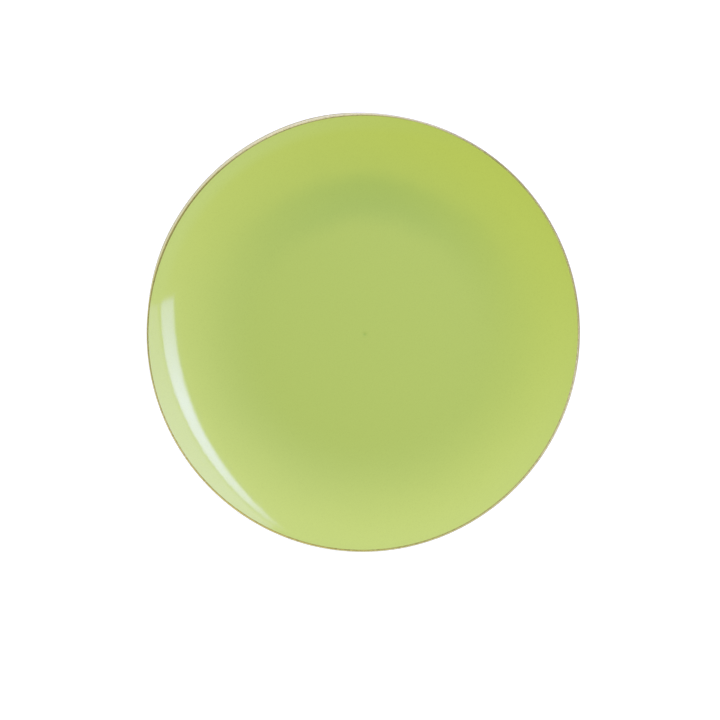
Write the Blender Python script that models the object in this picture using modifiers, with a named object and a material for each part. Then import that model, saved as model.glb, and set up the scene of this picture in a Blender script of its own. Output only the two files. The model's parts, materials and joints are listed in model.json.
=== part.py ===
"""Coupe dinner plate in glazed porcelain, with a coloured face and a gilded lip.

Frame: metres, +Z up, origin at the middle of the circle that the foot ring rests on.
The plate is one turned porcelain body. Thin fired layers cover it, each a turned shape of
its own: the coloured glaze on the face, the clear glaze on the back and in the foot recess,
and two gilded lines on the lip. Every layer is an offset of the body's own half section.
"""

import math

import bpy

OBJECT_NAME = "dinner_plate"

# Driving dimensions
PLATE_RADIUS = 0.1350  # over the glazed lip
WELL_RADIUS = 0.0700  # the flat middle of the face
WALL_ANGLE = math.radians(33)  # the slope of the wall where it meets the lip
WELL_THICKNESS = 0.0044
LIP_THICKNESS = 0.0020  # bare, and 3.4 mm with its layers
FOOT_RADIUS = 0.0765  # outer side of the foot ring
FOOT_WIDTH = 0.0050
FOOT_HEIGHT = 0.0030
FOOT_EDGE = 0.0007  # the chamfer on both sides of the land
FOOT_FLARE = 0.0006  # how much wider the ring is at its root, on each side

# Fired layers
LAYER_GAP = 0.0003
GLAZE_THICKNESS = 0.0004
GOLD_THICKNESS = 0.0002
CENTRE_MARK_RADIUS = 0.0009
CENTRE_MARK_DEPTH = 0.00015
BARE_FOOT = 0.0009  # the glaze stops this far above the land

# Directions on the lip's round edge, as angles above the horizontal, seen in the half section
FACE_GLAZE_END = math.radians(84)
GOLD_LINE = (math.radians(71), math.radians(39))
BACK_GLAZE_START = math.radians(26)
HAIRLINE = (math.radians(-2), math.radians(-18))

# Fineness
SEGMENTS = 72
WALL_STEPS = 7
LIP_STEP = math.radians(24)
WELD_DISTANCE = 0.00001

# Looks
BARE_PORCELAIN = {"Base Color": (0.76, 0.73, 0.66, 1.0), "Roughness": 0.75}
GREEN_GLAZE = {
    "Base Color": (0.45, 0.56, 0.15, 1.0),
    "Roughness": 0.08,
    "Coat Weight": 0.8,
}
CLEAR_GLAZE = {
    "Base Color": (0.80, 0.78, 0.68, 1.0),
    "Roughness": 0.12,
    "Coat Weight": 0.6,
}
GILDING = {
    "Base Color": (0.55, 0.42, 0.16, 1.0),
    "Roughness": 0.28,
    "Metallic": 1.0,
}

# Worked out from the dimensions above
LIP_RADIUS = LIP_THICKNESS / 2
LIP_CENTRE_R = PLATE_RADIUS - LIP_RADIUS - LAYER_GAP - GLAZE_THICKNESS
WALL_CURVE = (LIP_CENTRE_R - WELL_RADIUS) / math.sin(WALL_ANGLE) - LIP_RADIUS
FACE_HEIGHT = FOOT_HEIGHT + WELL_THICKNESS
CURVE_HEIGHT = FACE_HEIGHT + WALL_CURVE
LIP_CENTRE_Z = CURVE_HEIGHT - (WALL_CURVE + LIP_RADIUS) * math.cos(WALL_ANGLE)
FACE_SIDE = math.pi / 2 + WALL_ANGLE  # the lip's direction where the face ends
BACK_SIDE = WALL_ANGLE - math.pi / 2  # the lip's direction where the back starts


def clear_scene():
    for old in list(bpy.data.objects):
        bpy.data.objects.remove(old)


def new_collection(name):
    collection = bpy.data.collections.new(name)
    bpy.context.scene.collection.children.link(collection)
    return collection


def steps(start, end, count):
    """count + 1 evenly spaced values, both ends included."""
    return [start + (end - start) * i / count for i in range(count + 1)]


# Half section of the body, as (radius, height) points


def wall_point(angle, depth):
    """A point on the wall where it slopes at angle, at depth below the face."""
    reach = WALL_CURVE + depth
    return (
        WELL_RADIUS + reach * math.sin(angle),
        CURVE_HEIGHT - reach * math.cos(angle),
    )


def thickness_at(angle):
    """The wall thins evenly from the well to the lip."""
    return WELL_THICKNESS + (LIP_THICKNESS - WELL_THICKNESS) * angle / WALL_ANGLE


def face_line():
    """The face, from the middle of the well to the lip."""
    wall = [wall_point(angle, 0) for angle in steps(0, WALL_ANGLE, WALL_STEPS)]
    return [(0.0, FACE_HEIGHT)] + wall


def lip_line(start, end):
    """The lip's round edge from one direction to another, both ends included."""
    count = max(1, math.ceil(abs(end - start) / LIP_STEP))
    return [
        (
            LIP_CENTRE_R + LIP_RADIUS * math.cos(angle),
            LIP_CENTRE_Z + LIP_RADIUS * math.sin(angle),
        )
        for angle in steps(start, end, count)
    ]


def foot_root_angle():
    """The slope of the wall above the outer side of the foot ring."""
    reach = FOOT_RADIUS + FOOT_FLARE - WELL_RADIUS
    return math.asin(reach / (WALL_CURVE + WELL_THICKNESS))


def back_line():
    """The back, from the lip to the root of the foot ring."""
    angles = steps(WALL_ANGLE, foot_root_angle(), WALL_STEPS)
    return [wall_point(angle, thickness_at(angle)) for angle in angles]


def foot_line():
    """The foot ring, from its outer side over the land to its inner side."""
    inner = FOOT_RADIUS - FOOT_WIDTH
    return [
        (FOOT_RADIUS, FOOT_EDGE),
        (FOOT_RADIUS - FOOT_EDGE, 0.0),
        (inner + FOOT_EDGE, 0.0),
        (inner, FOOT_EDGE),
    ]


def recess_line():
    """The underside inside the foot ring, from the ring to the middle."""
    root = FOOT_RADIUS - FOOT_WIDTH - FOOT_FLARE
    return [(root, FOOT_HEIGHT), (0.0, FOOT_HEIGHT)]


def body_section():
    lip = lip_line(FACE_SIDE, BACK_SIDE)
    return face_line() + lip[1:-1] + back_line() + foot_line() + recess_line()


# Layers over the body


def offset_line(line, distance):
    """The line moved out from the body by distance, with mitred corners."""
    normals = []
    for (r0, z0), (r1, z1) in zip(line, line[1:]):
        length = math.hypot(r1 - r0, z1 - z0)
        normals.append(((z0 - z1) / length, (r1 - r0) / length))
    moved = []
    for i, (r, z) in enumerate(line):
        before = normals[max(i - 1, 0)]
        after = normals[min(i, len(normals) - 1)]
        share = 1 + before[0] * after[0] + before[1] * after[1]
        moved.append(
            (
                r + distance * (before[0] + after[0]) / share,
                z + distance * (before[1] + after[1]) / share,
            )
        )
    return moved


def layer_section(line, gap, thickness):
    """The half section of a layer that lies along a stretch of the body."""
    return offset_line(line, gap + thickness) + offset_line(line, gap)[::-1]


def face_glaze_section():
    """The coloured glaze, with the small mark left in the middle of the well."""
    line = face_line() + lip_line(FACE_SIDE, FACE_GLAZE_END)[1:]
    top, *rest = layer_section(line, LAYER_GAP, GLAZE_THICKNESS)
    mark = [(0.0, top[1] - CENTRE_MARK_DEPTH), (CENTRE_MARK_RADIUS, top[1])]
    return mark + rest


def back_glaze_section():
    """The clear glaze on the outer lip and the back, down the side of the foot ring."""
    line = lip_line(BACK_GLAZE_START, BACK_SIDE) + back_line()[1:]
    line.append((FOOT_RADIUS, BARE_FOOT))
    return layer_section(line, LAYER_GAP, GLAZE_THICKNESS)


def recess_glaze_section():
    """The clear glaze inside the foot ring."""
    inner = (FOOT_RADIUS - FOOT_WIDTH, BARE_FOOT)
    return layer_section([inner] + recess_line(), LAYER_GAP, GLAZE_THICKNESS)


def gold_line_section():
    return layer_section(lip_line(*GOLD_LINE), LAYER_GAP, GOLD_THICKNESS)


def hairline_section():
    """The fine line lies on the back glaze, so it sits one layer further out."""
    gap = 2 * LAYER_GAP + GLAZE_THICKNESS
    return layer_section(lip_line(*HAIRLINE), gap, GOLD_THICKNESS)


# Solids


def new_material(name, look):
    material = bpy.data.materials.new(name)
    material.use_nodes = True
    shader = material.node_tree.nodes["Principled BSDF"]
    for setting, value in look.items():
        shader.inputs[setting].default_value = value
    material.diffuse_color = look["Base Color"]
    return material


def turned(name, section, look, collection):
    """Turns a half section round the Z axis. A section off the axis closes into a ring."""
    count = len(section)
    edges = [(i, i + 1) for i in range(count - 1)]
    if section[0][0] > 0:
        edges.append((count - 1, 0))
    profile = bpy.data.meshes.new(name)
    profile.from_pydata([(r, 0.0, z) for r, z in section], edges, [])
    profile.materials.append(new_material(name, look))
    piece = bpy.data.objects.new(name, profile)
    collection.objects.link(piece)
    screw = piece.modifiers.new("turn", "SCREW")
    screw.axis = "Z"
    screw.steps = SEGMENTS
    screw.render_steps = SEGMENTS
    screw.use_smooth_shade = True
    screw.use_merge_vertices = True
    screw.merge_threshold = WELD_DISTANCE
    return piece


def build_plate():
    clear_scene()
    collection = new_collection(OBJECT_NAME)
    plate = bpy.data.objects.new(OBJECT_NAME, None)
    plate.empty_display_size = FOOT_RADIUS
    collection.objects.link(plate)
    pieces = [
        turned("porcelain_body", body_section(), BARE_PORCELAIN, collection),
        turned("green_face_glaze", face_glaze_section(), GREEN_GLAZE, collection),
        turned("white_back_glaze", back_glaze_section(), CLEAR_GLAZE, collection),
        turned("foot_recess_glaze", recess_glaze_section(), CLEAR_GLAZE, collection),
        turned("gold_rim_line", gold_line_section(), GILDING, collection),
        turned("gold_outer_hairline", hairline_section(), GILDING, collection),
    ]
    for piece in pieces:
        piece.parent = plate


build_plate()
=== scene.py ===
import json
import math

import bpy
import numpy as np
from mathutils import Matrix, Vector


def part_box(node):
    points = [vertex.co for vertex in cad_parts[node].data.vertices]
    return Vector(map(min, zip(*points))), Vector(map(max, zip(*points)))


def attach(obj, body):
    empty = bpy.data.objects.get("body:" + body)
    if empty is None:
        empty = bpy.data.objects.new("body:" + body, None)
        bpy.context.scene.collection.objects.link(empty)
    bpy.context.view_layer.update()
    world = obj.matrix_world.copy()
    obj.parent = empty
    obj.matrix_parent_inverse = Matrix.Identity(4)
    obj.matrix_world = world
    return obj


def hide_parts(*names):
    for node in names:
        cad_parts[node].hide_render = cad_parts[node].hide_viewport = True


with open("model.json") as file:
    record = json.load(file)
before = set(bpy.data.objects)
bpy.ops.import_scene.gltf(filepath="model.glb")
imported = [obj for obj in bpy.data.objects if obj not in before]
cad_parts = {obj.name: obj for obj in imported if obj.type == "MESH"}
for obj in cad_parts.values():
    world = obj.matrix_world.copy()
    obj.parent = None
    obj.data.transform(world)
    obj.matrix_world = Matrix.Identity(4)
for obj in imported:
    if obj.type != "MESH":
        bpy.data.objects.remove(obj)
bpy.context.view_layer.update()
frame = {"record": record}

# A rimless dinner plate: a porcelain body, coloured glaze on its face, clear glaze on its
# back and in the foot recess, and two gilded lines on the lip. Each piece is a half section
# turned round Z, with what the kiln and the brush do added at each azimuth.

# ---------------------------------------------------------------- dimensions, in metres

# The plate's own dimensions, as the CAD was drawn to
WELL_RADIUS = 0.0700
WALL_ANGLE = math.radians(33)
LAYER = 0.0007  # from the bare body of the CAD to the glazed surface
WELL_THICKNESS = 0.0044 + 2 * LAYER
LIP_THICKNESS = 0.0020 + 2 * LAYER
FOOT_WIDTH = 0.0050

# What the frame says
MOUNTS = {mount["name"]: Vector(mount["pos_m"]) for mount in frame["record"]["mounts"]}
TABLE_Z = MOUNTS["foot"].z
FLOOR_Z = MOUNTS["well_floor"].z
GLAZED_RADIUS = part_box("white_back_glaze")[1].x
RECESS_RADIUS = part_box("foot_recess_glaze")[1].x
RECESS_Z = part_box("foot_recess_glaze")[1].z - LAYER
FOOT_OUTER = RECESS_RADIUS + 2 * LAYER + FOOT_WIDTH

# Finer shape, too small for the CAD
LIP_INSET = 0.0004  # the lip's true circle lies this far inside the CAD's
LIP_INSIDE = 0.0006  # radius of the lip towards the face, tighter than towards the back
LIP_TURN = math.radians(60)  # the direction where one radius gives way to the other
BULGE = 0.00131  # how far the fired lip stands out of round, on one side
BULGE_DEPTH = 0.0026  # how much of the rim takes part in it
BULGE_START = (math.radians(76), math.radians(106))
BULGE_END = (math.radians(152), math.radians(178))
WARP = 0.00012  # how far the rim rises and falls, twice round
WARP_AT = math.radians(40)
BLEND = 0.012  # half the width over which the well turns into the wall
GLAZE = 0.00033
SEAT = 0.00002  # between two layers
GOLD_PROUD = 0.00003
GLAZE_STOP = 0.0010  # the glaze ends this high on the foot ring
FOOT_FILLET = 0.0024
RECESS_FILLET = 0.0011
LAND_ROUND = 0.0007
MARK_AT = (0.0001, -0.0008)
MARK_RADIUS = 0.0009
MARK_DEPTH = 0.00012
TURNING_PITCH = 0.0031  # faint rings left by the turning tool under the foot
TURNING_DEPTH = 0.000012
ROUND_END = 0.35  # how far a rounded end stands out, as a share of the layer's thickness

# Directions on the round lip, as angles above the horizontal
GOLD_LINE = (math.radians(105), math.radians(41))
GOLD_ON_BULGE = (math.radians(124), math.radians(49))  # the brush kept its own circle
GOLD_LEAVES = (math.radians(72), math.radians(88))  # it starts to part from the lip here
GOLD_DRIFT = (math.radians(6), math.radians(2))  # the circle isn't quite centred
GOLD_DRIFT_AT = math.radians(-15)
GOLD_JOIN = math.radians(58)  # where the green and the white glaze meet under the gold
HAIRLINE = (math.radians(30), math.radians(10))
BRUSH_WANDER = math.radians(1.3)
BRUSH_WAVES = ((3, 1.0), (7, 0.6), (13, 0.45), (29, 0.25))  # times round, and how strong
EDGE_PHASES = (0.0, 1.9)  # so that a line's two edges wander differently
GOLD_LINE_PHASE = 1.3  # and so do the two lines
HAIRLINE_PHASE = 4.7

# Fineness
SEGMENTS = 384
FLAT_STEP = 0.0030  # between the points of the flat well, finer at the centre mark
FLAT_END = 0.0540
SHARP_ANGLE = math.radians(50)
ON_AXIS = 1e-9  # a point nearer to the axis than this is on it

# Worked out from these
FACE_SIDE = math.pi / 2 + WALL_ANGLE
BACK_SIDE = WALL_ANGLE - math.pi / 2
LIP_SHARE = math.cos(FACE_SIDE - LIP_TURN)
# The radius towards the back, which makes the whole lip as thick as it should be
LIP_OUTSIDE = (LIP_THICKNESS - LIP_INSIDE * (1 - LIP_SHARE)) / (1 + LIP_SHARE)
OUTSIDE_R = GLAZED_RADIUS - LIP_INSET - LIP_OUTSIDE
INSIDE_R = OUTSIDE_R + (LIP_OUTSIDE - LIP_INSIDE) * math.cos(LIP_TURN)
WALL_END_R = INSIDE_R - LIP_INSIDE * math.sin(WALL_ANGLE)
WALL_CURVE = (WALL_END_R - WELL_RADIUS) / math.sin(WALL_ANGLE)
CURVE_Z = FLOOR_Z + WALL_CURVE
WALL_END_Z = CURVE_Z - WALL_CURVE * math.cos(WALL_ANGLE)
INSIDE_Z = WALL_END_Z - LIP_INSIDE * math.cos(WALL_ANGLE)
OUTSIDE_Z = INSIDE_Z - (LIP_OUTSIDE - LIP_INSIDE) * math.sin(LIP_TURN)


# ---------------------------------------------------------------- half sections


def arc(centre, radius, start, end, count):
    """Points on an arc, from one angle to another."""
    angles = np.linspace(start, end, count)
    return np.column_stack(
        [centre[0] + radius * np.cos(angles), centre[1] + radius * np.sin(angles)]
    )


def blended_ramp(x):
    """0 up to -BLEND, x from BLEND on, and a curve with no kink in between."""
    u = np.clip((x + BLEND) / (2 * BLEND), 0, 1)
    return np.where(x > BLEND, x, 2 * BLEND * (u**3 - u**4 / 2))


def face_line():
    """The glazed face, from the middle to the lip."""
    mark = np.linspace(0, FLAT_STEP, 16)
    flat = np.linspace(2 * FLAT_STEP, FLAT_END, 17)
    wall = np.linspace(FLAT_END + FLAT_STEP / 2, WALL_END_R, 56)
    r = np.concatenate([mark, flat, wall])
    slope = np.tan(np.arcsin(blended_ramp(r - WELL_RADIUS) / WALL_CURVE))
    rise = np.concatenate([[0], np.cumsum((slope[1:] + slope[:-1]) / 2 * np.diff(r))])
    return np.column_stack([r, FLOOR_Z + rise * (WALL_END_Z - FLOOR_Z) / rise[-1]])


def lip_line(start, end, count):
    """The lip from one direction to another, on its two arcs. Directions past the end of
    the lip run on straight down the wall."""
    angle = np.linspace(start, end, count)
    on_lip = np.minimum(angle, FACE_SIDE)
    down = LIP_INSIDE * (angle - on_lip)
    inside = angle > LIP_TURN
    radius = np.where(inside, LIP_INSIDE, LIP_OUTSIDE)
    r = np.where(inside, INSIDE_R, OUTSIDE_R) + radius * np.cos(on_lip)
    z = np.where(inside, INSIDE_Z, OUTSIDE_Z) + radius * np.sin(on_lip)
    wall = (math.cos(WALL_ANGLE), math.sin(WALL_ANGLE))
    return np.column_stack([r - down * wall[0], z - down * wall[1]])


def back_line():
    """The glazed back from the lip, round the fillet, down the side of the foot ring."""
    top_r, top_z = lip_line(BACK_SIDE, BACK_SIDE, 1)[0]
    top = math.atan2(top_r - WELL_RADIUS, CURVE_Z - top_z)
    top_reach = math.hypot(top_r - WELL_RADIUS, CURVE_Z - top_z)
    well_reach = WALL_CURVE + WELL_THICKNESS
    fillet_r = FOOT_OUTER + FOOT_FILLET
    fillet_reach = well_reach + FOOT_FILLET
    turn = math.asin((fillet_r - WELL_RADIUS) / fillet_reach)
    fillet_z = CURVE_Z - fillet_reach * math.cos(turn)
    angle = np.linspace(top, turn, 48)
    reach = well_reach + (top_reach - well_reach) * (angle - turn) / (top - turn)
    r, z = WELL_RADIUS + reach * np.sin(angle), CURVE_Z - reach * np.cos(angle)
    fillet = arc((fillet_r, fillet_z), FOOT_FILLET, math.pi / 2 + turn, math.pi, 12)
    side_z = np.linspace(fillet_z, TABLE_Z + GLAZE_STOP, 5)[1:]
    side = np.column_stack([np.full(len(side_z), FOOT_OUTER), side_z])
    return np.concatenate([np.column_stack([r, z]), fillet[1:], side])


def recess_line():
    """The glazed underside from the inner side of the foot ring to the middle."""
    r = RECESS_RADIUS
    corner = (r - RECESS_FILLET, RECESS_Z - RECESS_FILLET)
    side = [(r, TABLE_Z + GLAZE_STOP)]
    fillet = arc(corner, RECESS_FILLET, 0, math.pi / 2, 8)
    roof_r = np.linspace(corner[0], 0, 90)[1:]
    rings = TURNING_DEPTH * np.sin(2 * math.pi * roof_r / TURNING_PITCH)
    rings *= np.clip((corner[0] - roof_r) / TURNING_PITCH, 0, 1)
    roof = np.column_stack([roof_r, RECESS_Z + rings])
    return np.concatenate([side, fillet, roof])


def normals_of(line):
    """Unit normals of a line that runs clockwise round the plate's half section."""
    along = np.gradient(line, axis=0)
    along /= np.linalg.norm(along, axis=1)[:, None]
    return np.column_stack([-along[:, 1], along[:, 0]])


def moved_out(line, distance):
    return line + normals_of(line) * np.reshape(distance, (-1, 1))


def tip(line, top, bottom, end, before_end):
    """The point that rounds off a layer's end, as a list to join to its other points."""
    step = line[end] - line[before_end]
    middle = moved_out(line, (top + bottom) / 2)[end]
    return [middle + step / np.linalg.norm(step) * (top - bottom) * ROUND_END]


def coat(line, top, bottom, thin=3, round_start=False, round_end=False):
    """A layer over a line, between two distances out from it. Its hidden side is coarser."""
    keep = sorted(set(range(0, len(line), thin)) | {len(line) - 1})
    parts = [moved_out(line, top)]
    if round_end:
        parts.append(tip(line, top, bottom, -1, -2))
    parts.append(moved_out(line, bottom)[keep][::-1])
    if round_start:
        parts.append(tip(line, top, bottom, 0, 1))
    return np.concatenate(parts)


# ---------------------------------------------------------------- meshes


def smooth_step(x, start, end):
    u = np.clip((x - start) / (end - start), 0, 1)
    return u * u * (3 - 2 * u)


def bulge_at(azimuth):
    """1 along the stretch where the lip bulges, 0 elsewhere."""
    return smooth_step(azimuth, *BULGE_START) * (1 - smooth_step(azimuth, *BULGE_END))


def fired(r, z, azimuth):
    """What the kiln does to the turned shape: the lip bulges and the rim warps slightly."""
    out = np.clip(1 - (OUTSIDE_R + LIP_OUTSIDE - r) / BULGE_DEPTH, 0, None)
    moved_r = r + BULGE * out**4 * bulge_at(azimuth)
    share = np.clip((r - FOOT_OUTER) / (OUTSIDE_R - FOOT_OUTER), 0, 1) ** 2
    moved_z = z - WARP * (1 + np.cos(2 * (azimuth - WARP_AT))) / 2 * share
    return moved_r, moved_z


def same_all_round(section):
    return lambda azimuth: section


def turned(name, section_at, material, node):
    """Turns a half section round Z. section_at gives the section at each azimuth."""
    azimuths = np.arange(SEGMENTS) * 2 * math.pi / SEGMENTS
    rows = [np.asarray(section_at(azimuth)) for azimuth in azimuths]
    count = len(rows[0])
    on_axis = [i for i in (0, count - 1) if rows[0][i][0] < ON_AXIS]
    verts, index = [], np.zeros((SEGMENTS, count), int)
    for s, (azimuth, row) in enumerate(zip(azimuths, rows)):
        r, z = fired(row[:, 0], row[:, 1], azimuth)
        for i in range(count):
            if i in on_axis and s > 0:
                index[s, i] = index[0, i]
                continue
            index[s, i] = len(verts)
            verts.append((r[i] * math.cos(azimuth), r[i] * math.sin(azimuth), z[i]))
    faces = []
    last = count - 1 if on_axis else count
    for s in range(SEGMENTS):
        t = (s + 1) % SEGMENTS
        for i in range(last):
            j = (i + 1) % count
            corners = [index[s, i], index[s, j], index[t, j], index[t, i]]
            faces.append(list(dict.fromkeys(corners)))
    mesh = bpy.data.meshes.new(name)
    mesh.from_pydata(verts, [], faces)
    mesh.materials.append(material)
    mesh.shade_smooth()
    mesh.set_sharp_from_angle(angle=SHARP_ANGLE)
    piece = bpy.data.objects.new(name, mesh)
    bpy.context.scene.collection.objects.link(piece)
    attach(piece, "root")
    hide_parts(node)
    return piece


def press_centre_mark(piece):
    """The small mark in the well, a shallow pit just off the middle."""
    for vertex in piece.data.vertices:
        away = math.hypot(vertex.co.x - MARK_AT[0], vertex.co.y - MARK_AT[1])
        if away < 4 * MARK_RADIUS and vertex.co.z > FLOOR_Z - GLAZE / 2:
            vertex.co.z -= MARK_DEPTH * math.exp(-((away / MARK_RADIUS) ** 2))


# ---------------------------------------------------------------- node helpers


def new_material(name):
    material = bpy.data.materials.new(name)
    material.use_nodes = True
    tree = material.node_tree
    return material, tree, tree.nodes["Principled BSDF"]


def add(tree, kind, **inputs):
    """A new node with some of its inputs set or linked."""
    node = tree.nodes.new(kind)
    for key, value in inputs.items():
        put(tree, node.inputs[key.replace("_", " ")], value)
    return node


def put(tree, socket, value):
    if isinstance(value, bpy.types.NodeSocket):
        tree.links.new(value, socket)
    else:
        socket.default_value = value


def object_place(tree):
    return add(tree, "ShaderNodeTexCoord").outputs["Object"]


def noise(tree, scale, detail=2.0, roughness=0.5):
    node = add(
        tree, "ShaderNodeTexNoise", Scale=scale, Detail=detail, Roughness=roughness
    )
    tree.links.new(object_place(tree), node.inputs["Vector"])
    return node.outputs["Fac"]


def maths(tree, operation, a, b=0.0, c=0.0):
    node = tree.nodes.new("ShaderNodeMath")
    node.operation = operation
    for socket, value in zip(node.inputs, (a, b, c)):
        put(tree, socket, value)
    return node.outputs[0]


def vector_maths(tree, operation, a, b=(0.0, 0.0, 0.0)):
    """Scale takes a number as b, and dot product and length give a number."""
    node = tree.nodes.new("ShaderNodeVectorMath")
    node.operation = operation
    put(tree, node.inputs[0], a)
    put(tree, node.inputs["Scale" if operation == "SCALE" else 1], b)
    gives_number = operation in ("DOT_PRODUCT", "LENGTH")
    return node.outputs["Value" if gives_number else "Vector"]


def spread(tree, value, low, high):
    """A 0 to 1 value spread over a range."""
    node = add(tree, "ShaderNodeMapRange", Value=value, To_Min=low, To_Max=high)
    return node.outputs["Result"]


def grey(tone):
    return (tone, tone, tone)


def ramp(tree, value, stops, kind="EASE"):
    """A colour ramp with (position, colour) stops."""
    node = add(tree, "ShaderNodeValToRGB", Fac=value)
    elements = node.color_ramp.elements
    while len(elements) < len(stops):
        elements.new(0.5)
    for element, (position, colour) in zip(elements, stops):
        element.position = position
        element.color = (*colour, 1.0)
    node.color_ramp.interpolation = kind
    return node.outputs["Color"]


def mix(tree, factor, a, b, blend="MIX"):
    node = tree.nodes.new("ShaderNodeMix")
    node.data_type = "RGBA"
    node.blend_type = blend
    put(tree, node.inputs[0], factor)
    for socket, value in ((node.inputs[6], a), (node.inputs[7], b)):
        put(tree, socket, (*value, 1.0) if isinstance(value, tuple) else value)
    return node.outputs[2]


def radius_of(tree):
    """Distance from the plate's axis, in metres."""
    flat = vector_maths(tree, "MULTIPLY", object_place(tree), (1, 1, 0))
    return vector_maths(tree, "LENGTH", flat)


def facing(tree, side):
    """1 on the side of the plate that lies towards a direction, 0 on the far side."""
    outward = vector_maths(tree, "NORMALIZE", object_place(tree))
    along = vector_maths(tree, "DOT_PRODUCT", outward, side)
    return maths(tree, "MULTIPLY_ADD", along, 0.5, 0.5)


def height_of(tree):
    return add(tree, "ShaderNodeSeparateXYZ", Vector=object_place(tree)).outputs["Z"]


def bump(tree, shader, height, strength, distance):
    node = add(
        tree, "ShaderNodeBump", Height=height, Strength=strength, Distance=distance
    )
    tree.links.new(node.outputs["Normal"], shader.inputs["Normal"])


# ---------------------------------------------------------------- materials

WHITE, BLACK = grey(1.0), grey(0.0)
GLAZE_IOR = 1.5

# The green glaze. Places on it are shares of the plate's radius. Each ring's four shares
# are where its crescent starts, is full, is still full, and ends
WELL_GREEN = (0.375, 0.491, 0.092)
WALL_GREEN = (0.435, 0.548, 0.096)
LIP_GREEN = (0.440, 0.552, 0.105)
GREENS = ((0.50, WELL_GREEN), (0.65, WELL_GREEN), (0.85, WALL_GREEN), (0.97, LIP_GREEN))
PATCHES = 0.03  # how far the tones shift in and out, in patches
MARK_GREEN = (0.31, 0.44, 0.077)
PAINTED_SHADE_TINT = (0.875, 0.925, 0.96)  # painted shade: how far the green is darkened on one side of the well's edge
PAINTED_SHADE_SIDE = Vector((0.05, 1.0, 0.0)).normalized()  # the side of the well that the painted shade lies on
PAINTED_SHADE_RING = (0.46, 0.60, 0.67, 0.77)
PAINTED_REFLECTION_GREEN = (0.455, 0.575, 0.140)  # painted reflection: a lighter green just inside the lip, along its bulge
PAINTED_REFLECTION_SIDE = Vector((-0.53, 0.85, 0.0)).normalized()
PAINTED_REFLECTION_RING = (0.905, 0.965, 0.985, 1.0)
CRESCENT_TIGHTNESS = 6
GREEN_SPECK = grey(0.95)

# The clear glaze over ivory porcelain
IVORY = (0.555, 0.54, 0.32)
IVORY_SHADE = 0.975
IRON_SPECK = (0.55, 0.48, 0.38)

# Bare porcelain
GRAIN = ((0.70, 0.67, 0.60), (0.80, 0.78, 0.71))
SCUFFED = (0.72, 0.71, 0.69)
SCUFF_HEIGHT = 0.0004

# Gilding, fresh and worn. The hairline's gold is thinner and paler
GOLD = (0.57, 0.54, 0.29)
WORN_GOLD = (0.41, 0.38, 0.20)
PALE_GOLD = (0.47, 0.46, 0.27)
WORN_PALE_GOLD = (0.34, 0.325, 0.18)
# Painted shade on the gold line: the sides where it is darker, and by how much
PAINTED_SHADE_SIDES = (
    (Vector((0.88, 0.47, 0.0)).normalized(), (0.47, 0.49, 0.25)),
    (Vector((-0.94, 0.34, 0.0)).normalized(), (0.66, 0.65, 0.44)),
    (Vector((-0.62, -0.79, 0.0)).normalized(), (0.93, 0.87, 0.96)),
)
PAINTED_SHADE_FADE = (0.85, 0.965)  # starts and is full, as facing() counts


def centre_spot(tree):
    """1 at the small mark in the middle of the well, where the glaze is deeper and darker,
    with a faint ring round it."""
    offset = vector_maths(tree, "SUBTRACT", object_place(tree), (*MARK_AT, FLOOR_Z))
    away = maths(tree, "DIVIDE", vector_maths(tree, "LENGTH", offset), 3 * MARK_RADIUS)
    return ramp(tree, away, [(0.15, WHITE), (0.5, grey(0.30)), (1.0, BLACK)])


def crescent(tree, radius, side, radii):
    """1 along part of a ring on one side, fading to 0 both ways round."""
    share = maths(tree, "POWER", facing(tree, side), CRESCENT_TIGHTNESS)
    stops = list(zip(radii, (BLACK, WHITE, WHITE, BLACK)))
    return maths(tree, "MULTIPLY", share, ramp(tree, radius, stops))


def green_glaze():
    """Coloured glaze, darker in the well and lighter and yellower up the wall. Painted shade
    darkens one side of the well's edge, and a painted reflection lightens the green just
    inside the lip on one side.
    """
    material, tree, shader = new_material("green_glaze")
    radius = maths(tree, "DIVIDE", radius_of(tree), GLAZED_RADIUS)
    depth = maths(tree, "ADD", radius, spread(tree, noise(tree, 38, 3), -PATCHES, PATCHES))
    colour = ramp(tree, depth, GREENS, "B_SPLINE")
    # painted shade: a darker crescent of the green on one side of the well's edge
    painted_shade = crescent(tree, depth, PAINTED_SHADE_SIDE, PAINTED_SHADE_RING)
    colour = mix(tree, painted_shade, colour, mix(tree, 1.0, colour, PAINTED_SHADE_TINT, "MULTIPLY"))
    # painted reflection: a lighter band of green just inside the lip on one side
    painted_reflection = crescent(tree, radius, PAINTED_REFLECTION_SIDE, PAINTED_REFLECTION_RING)
    colour = mix(tree, painted_reflection, colour, PAINTED_REFLECTION_GREEN)
    colour = mix(tree, centre_spot(tree), colour, MARK_GREEN)
    specks = ramp(tree, noise(tree, 1500, 2), [(0.30, GREEN_SPECK), (0.55, WHITE)])
    colour = mix(tree, 1.0, colour, specks, "MULTIPLY")
    tree.links.new(colour, shader.inputs["Base Color"])
    put(tree, shader.inputs["Roughness"], spread(tree, noise(tree, 120, 4), 0.06, 0.10))
    shader.inputs["IOR"].default_value = GLAZE_IOR
    bump(tree, shader, noise(tree, 420, 2), 0.02, 0.0004)
    return material


def clear_glaze(name):
    """Clear glaze over ivory porcelain, with rare fine iron specks and an uneven skin."""
    material, tree, shader = new_material(name)
    shade = tuple(IVORY_SHADE * c for c in IVORY)
    tone = ramp(tree, noise(tree, 30, 3), [(0.3, shade), (0.7, IVORY)])
    specks = ramp(tree, noise(tree, 900, 1), [(0.20, IRON_SPECK), (0.24, WHITE)])
    tree.links.new(mix(tree, 1.0, tone, specks, "MULTIPLY"), shader.inputs["Base Color"])
    put(tree, shader.inputs["Roughness"], spread(tree, noise(tree, 150, 4), 0.07, 0.13))
    shader.inputs["IOR"].default_value = GLAZE_IOR
    bump(tree, shader, noise(tree, 350, 2), 0.04, 0.0004)
    return material


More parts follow.
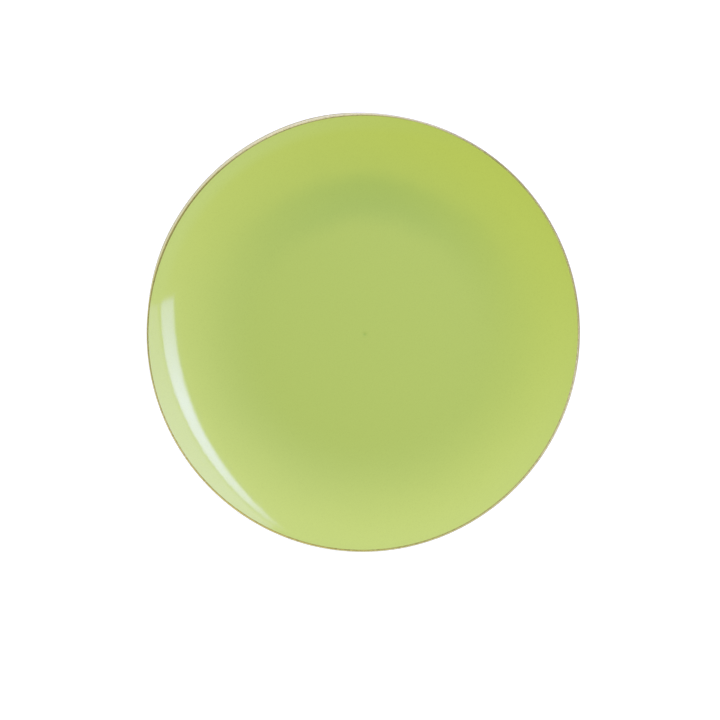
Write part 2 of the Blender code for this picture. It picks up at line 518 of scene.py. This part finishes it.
def bare_porcelain():
    """Unglazed, ground porcelain on the foot's land, greyed where it has been set down."""
    material, tree, shader = new_material("bare_porcelain")
    grain = noise(tree, 2500, 5, 0.6)
    tone = ramp(tree, grain, list(zip((0.35, 0.65), GRAIN)))
    scuffs = ramp(tree, noise(tree, 260, 6, 0.7), [(0.44, SCUFFED), (0.56, WHITE)])
    low = maths(tree, "LESS_THAN", height_of(tree), TABLE_Z + SCUFF_HEIGHT)
    worn = mix(tree, low, WHITE, scuffs)
    tree.links.new(mix(tree, 1.0, tone, worn, "MULTIPLY"), shader.inputs["Base Color"])
    put(tree, shader.inputs["Roughness"], spread(tree, grain, 0.6, 0.85))
    bump(tree, shader, grain, 0.25, 0.0001)
    return material


def gilding(name, tone, worn_tone, shaded_sides=()):
    """Fired gold, brushed on: satin and unevenly worn, with painted shade that darkens it on
    some sides.
    """
    material, tree, shader = new_material(name)
    wear = ramp(tree, noise(tree, 700, 4, 0.65), [(0.36, WHITE), (0.50, BLACK)])
    colour = mix(tree, wear, tone, worn_tone)
    # painted shade: the gold darkens on the side facing each direction
    for side, shade_tone in shaded_sides:
        stops = list(zip(PAINTED_SHADE_FADE, (WHITE, shade_tone)))
        colour = mix(tree, 1.0, colour, ramp(tree, facing(tree, side), stops), "MULTIPLY")
    tree.links.new(colour, shader.inputs["Base Color"])
    shader.inputs["Metallic"].default_value = 1.0
    put(tree, shader.inputs["Roughness"], spread(tree, noise(tree, 1800, 3), 0.16, 0.28))
    bump(tree, shader, noise(tree, 2600, 3), 0.12, 0.00005)
    return material


# ---------------------------------------------------------------- pieces


def brushed_edges(line, azimuth, phase):
    """The two edges of a hand-banded line, which wander a little round the plate."""
    shifts = [
        sum(size * math.sin(n * (azimuth + phase) + own) for n, size in BRUSH_WAVES)
        for own in EDGE_PHASES
    ]
    return [edge + BRUSH_WANDER * shift / 2 for edge, shift in zip(line, shifts)]


def gold_line_at(azimuth):
    """The line's two edges: a circle of its own, which parts from the lip at the bulge."""
    inward = smooth_step(azimuth, *GOLD_LEAVES) * (1 - smooth_step(azimuth, *BULGE_END))
    outward = math.cos(azimuth - GOLD_DRIFT_AT)
    edges = zip(GOLD_LINE, GOLD_ON_BULGE, GOLD_DRIFT)
    return [a + (b - a) * inward - drift * outward for a, b, drift in edges]


def gilded_section(line, azimuth, phase):
    start, end = brushed_edges(line, azimuth, phase)
    return coat(lip_line(start, end, 17), GOLD_PROUD, SEAT / 2, 1)


def body_section():
    """The porcelain under the glaze, and its bare foot."""
    depth = GLAZE + SEAT
    face = np.concatenate([face_line(), lip_line(FACE_SIDE, BACK_SIDE, 30)[1:]])
    top = moved_out(np.concatenate([face, back_line()[1:]]), -depth)
    outer, inner = FOOT_OUTER - depth, RECESS_RADIUS + depth
    round_z = TABLE_Z + LAND_ROUND
    foot = np.concatenate(
        [
            arc((outer - LAND_ROUND, round_z), LAND_ROUND, 0, -math.pi / 2, 6),
            arc((inner + LAND_ROUND, round_z), LAND_ROUND, -math.pi / 2, -math.pi, 6),
        ]
    )
    under = moved_out(recess_line(), -depth)
    return np.concatenate([top[::2], top[-1:], foot, under])


def make_body():
    section = same_all_round(body_section())
    turned("body", section, bare_porcelain(), "porcelain_body")


def make_face_glaze():
    line = np.concatenate([face_line(), lip_line(FACE_SIDE, GOLD_JOIN, 20)[1:]])
    section = same_all_round(coat(line, 0.0, -GLAZE))
    glaze = turned("face_glaze", section, green_glaze(), "green_face_glaze")
    press_centre_mark(glaze)


def make_back_glaze():
    line = np.concatenate([lip_line(GOLD_JOIN, BACK_SIDE, 30), back_line()[1:]])
    section = same_all_round(coat(line, 0.0, -GLAZE, round_end=True))
    material = clear_glaze("ivory_back_glaze")
    turned("back_glaze", section, material, "white_back_glaze")


def make_recess_glaze():
    section = same_all_round(coat(recess_line(), 0.0, -GLAZE, 1, round_start=True))
    material = clear_glaze("ivory_recess_glaze")
    turned("recess_glaze", section, material, "foot_recess_glaze")


def make_rim_gilding():
    def section_at(azimuth):
        return gilded_section(gold_line_at(azimuth), azimuth, GOLD_LINE_PHASE)

    material = gilding("rim_gold", GOLD, WORN_GOLD, PAINTED_SHADE_SIDES)
    turned("rim_gilding", section_at, material, "gold_rim_line")


def make_hairline_gilding():
    def section_at(azimuth):
        return gilded_section(HAIRLINE, azimuth, HAIRLINE_PHASE)

    material = gilding("hairline_gold", PALE_GOLD, WORN_PALE_GOLD)
    turned("hairline_gilding", section_at, material, "gold_outer_hairline")


make_body()
make_face_glaze()
make_back_glaze()
make_recess_glaze()
make_rim_gilding()
make_hairline_gilding()

# ---------------------------------------------------------------- floor, light and camera

RIM_CENTRE = Vector((0.0, 0.0, 0.0252))  # the window and the camera are placed from here

FLOOR_HALF = 12.0
FLOOR_GREYS = (0.78, 0.80)
FLOOR_GLOW = (0.44, 0.46, 0.63)  # radiance, so that the plate's shadow goes white from above
FLOOR_DROP = 0.00005  # so that the floor and the foot's land don't share a plane


def floor_paper():
    """Pale matte paper, lit a little from inside."""
    material, tree, shader = new_material("floor_paper")
    tones = [grey(tone) for tone in FLOOR_GREYS]
    tone = ramp(tree, noise(tree, 8, 3), list(zip((0.3, 0.7), tones)))
    tree.links.new(tone, shader.inputs["Base Color"])
    shader.inputs["Roughness"].default_value = 0.9
    strength = max(FLOOR_GLOW)
    colour = [c / strength for c in FLOOR_GLOW]
    shader.inputs["Emission Color"].default_value = (*colour, 1.0)
    shader.inputs["Emission Strength"].default_value = strength
    return material


def make_floor():
    """A wide pale sheet that the plate stands on."""
    half, height = FLOOR_HALF, TABLE_Z - FLOOR_DROP
    corners = [(-half, -half), (half, -half), (half, half), (-half, half)]
    mesh = bpy.data.meshes.new("floor")
    mesh.from_pydata([(x, y, height) for x, y in corners], [], [(0, 1, 2, 3)])
    mesh.materials.append(floor_paper())
    floor = bpy.data.objects.new("floor", mesh)
    bpy.context.scene.collection.objects.link(floor)


# Soft light from all round, as in a light tent: azimuth and elevation in degrees, radiance
GLOWS = (
    (40, 40, (1.27, 1.22, 1.70)),
    (135, 15, (1.44, 1.41, 1.54)),
    (225, 15, (1.12, 1.10, 0.20)),
    (315, 15, (0.86, 0.85, 0.63)),
)
GLOW_TIGHTNESS = 6
TENT = (0.03, 0.03, 0.03)

# A long window: a narrow bright strip over a dim wide pane in the same plane. Each fade
# gives shares of its light at shares of its length
WINDOW_ENDS = (Vector((0.89, -0.16, 1.16)), Vector((1.154, 5.615, 3.921)))
WINDOW_LEAN = math.radians(30)
STRIP_HEIGHT = 0.27
STRIP_TAPER = 0.33  # the share of its height that its lower side loses by the far end
STRIP_NOSE = 0.06  # the share of its length where it narrows towards the near end
STRIP_NOSE_DEPTH = 0.09  # by this share of its height, on each side
STRIP_LIGHT = (5.95, 5.55, 13.5)
STRIP_FADE = ((0.0, 0.50), (0.11, 1.0), (0.38, 0.73), (0.85, 0.13), (1.0, 0.08))
PANE_GAP = 0.033
PANE_HEIGHT = 1.2
PANE_LIGHT = (2.3, 1.95, 4.5)
PANE_FADE = ((0.0, 0.57), (0.16, 0.85), (0.46, 1.0), (0.91, 0.85), (1.0, 0.70))


def direction(azimuth, elevation):
    a, e = math.radians(azimuth), math.radians(elevation)
    return Vector((math.cos(a) * math.cos(e), math.sin(a) * math.cos(e), math.sin(e)))


def strip_shape(tree, along, up):
    """1 inside the strip's outline: its lower side rises towards the far end, and both
    sides come in at the near end."""
    slope = -STRIP_NOSE_DEPTH / STRIP_NOSE
    nose = maths(tree, "MULTIPLY_ADD", along, slope, STRIP_NOSE_DEPTH)
    nose = maths(tree, "MAXIMUM", nose, 0.0)
    low = maths(tree, "MULTIPLY_ADD", along, STRIP_TAPER, nose)
    high = maths(tree, "SUBTRACT", 1.0, nose)
    above = maths(tree, "GREATER_THAN", up, low)
    below = maths(tree, "LESS_THAN", up, high)
    return maths(tree, "MULTIPLY", above, below)


def pattern(tree, fade, shape):
    """A light's pattern over its rectangle: a fade along its width, inside a shape."""
    place = tree.nodes.new("ShaderNodeNewGeometry").outputs["Parametric"]
    across = add(tree, "ShaderNodeSeparateXYZ", Vector=place)
    along, up = across.outputs["X"], across.outputs["Y"]
    stops = [(position, grey(share)) for position, share in fade]
    share = ramp(tree, along, stops, "LINEAR")
    if shape:
        share = maths(tree, "MULTIPLY", share, shape(tree, along, up))
    return share


def place_light(name, axes, centre, width, height, radiance, fade, shape=None):
    """A rectangular light, which the camera sees only in reflections."""
    data = bpy.data.lights.new(name, "AREA")
    data.shape = "RECTANGLE"
    data.size, data.size_y = width, height
    strength = max(radiance)
    data.color = [c / strength for c in radiance]
    data.energy = strength * math.pi * width * height
    data.use_nodes = True
    tree = data.node_tree
    tree.links.new(pattern(tree, fade, shape), tree.nodes["Emission"].inputs["Strength"])
    light = bpy.data.objects.new(name, data)
    light.matrix_world = Matrix.Translation(centre) @ axes
    light.visible_camera = False
    bpy.context.scene.collection.objects.link(light)


def make_window():
    """The strip with the pane below it, in one plane turned a little off the plate."""
    start, end = WINDOW_ENDS
    middle, width = (start + end) / 2, (end - start).length
    x = (end - start).normalized()
    back = middle - RIM_CENTRE
    back = (back - x * back.dot(x)).normalized()
    back = Matrix.Rotation(-WINDOW_LEAN, 3, x) @ back
    y = back.cross(x)
    axes = Matrix((x, y, back)).transposed().to_4x4()
    strip = (width, STRIP_HEIGHT, STRIP_LIGHT, STRIP_FADE, strip_shape)
    place_light("strip", axes, middle, *strip)
    down = y * (STRIP_HEIGHT / 2 + PANE_GAP + PANE_HEIGHT / 2)
    place_light("pane", axes, middle - down, width, PANE_HEIGHT, PANE_LIGHT, PANE_FADE)


def make_tent():
    """The world: wide, soft glows above the horizon, dimmer overhead."""
    world = bpy.data.worlds.new("light_tent")
    world.use_nodes = True
    tree = world.node_tree
    towards = add(tree, "ShaderNodeTexCoord").outputs["Generated"]
    total = TENT
    for azimuth, elevation, radiance in GLOWS:
        near = vector_maths(tree, "DOT_PRODUCT", towards, direction(azimuth, elevation))
        near = maths(tree, "MULTIPLY_ADD", near, 0.5, 0.5)
        weight = maths(tree, "POWER", near, GLOW_TIGHTNESS)
        glow = vector_maths(tree, "SCALE", radiance, weight)
        total = vector_maths(tree, "ADD", glow, total)
    tree.links.new(total, tree.nodes["Background"].inputs["Color"])
    bpy.context.scene.world = world


CAMERA_TILT = 8.77  # degrees off the plate's axis
CAMERA_AZIMUTH = -8
CAMERA_DISTANCE = 1.5
CAMERA_LENS = 122.25  # millimetres, as is the sensor's width
CAMERA_SENSOR = 36.0
CAMERA_AIM = (-0.0003, -0.0169)  # off the rim's centre


def make_camera():
    data = bpy.data.cameras.new("camera")
    data.lens = CAMERA_LENS
    data.sensor_width = CAMERA_SENSOR
    camera = bpy.data.objects.new("camera", data)
    away = direction(CAMERA_AZIMUTH, 90 - CAMERA_TILT)
    camera.location = RIM_CENTRE + away * CAMERA_DISTANCE
    aim = RIM_CENTRE + Vector((*CAMERA_AIM, 0.0))
    back = (camera.location - aim).normalized()
    right = Vector((0, 1, 0)).cross(back).normalized()
    turn = Matrix((right, back.cross(right), back)).transposed().to_4x4()
    camera.matrix_world = Matrix.Translation(camera.location) @ turn
    bpy.context.scene.collection.objects.link(camera)
    bpy.context.scene.camera = camera


make_floor()
make_window()
make_tent()
make_camera()
bpy.context.scene.view_settings.view_transform = "Standard"
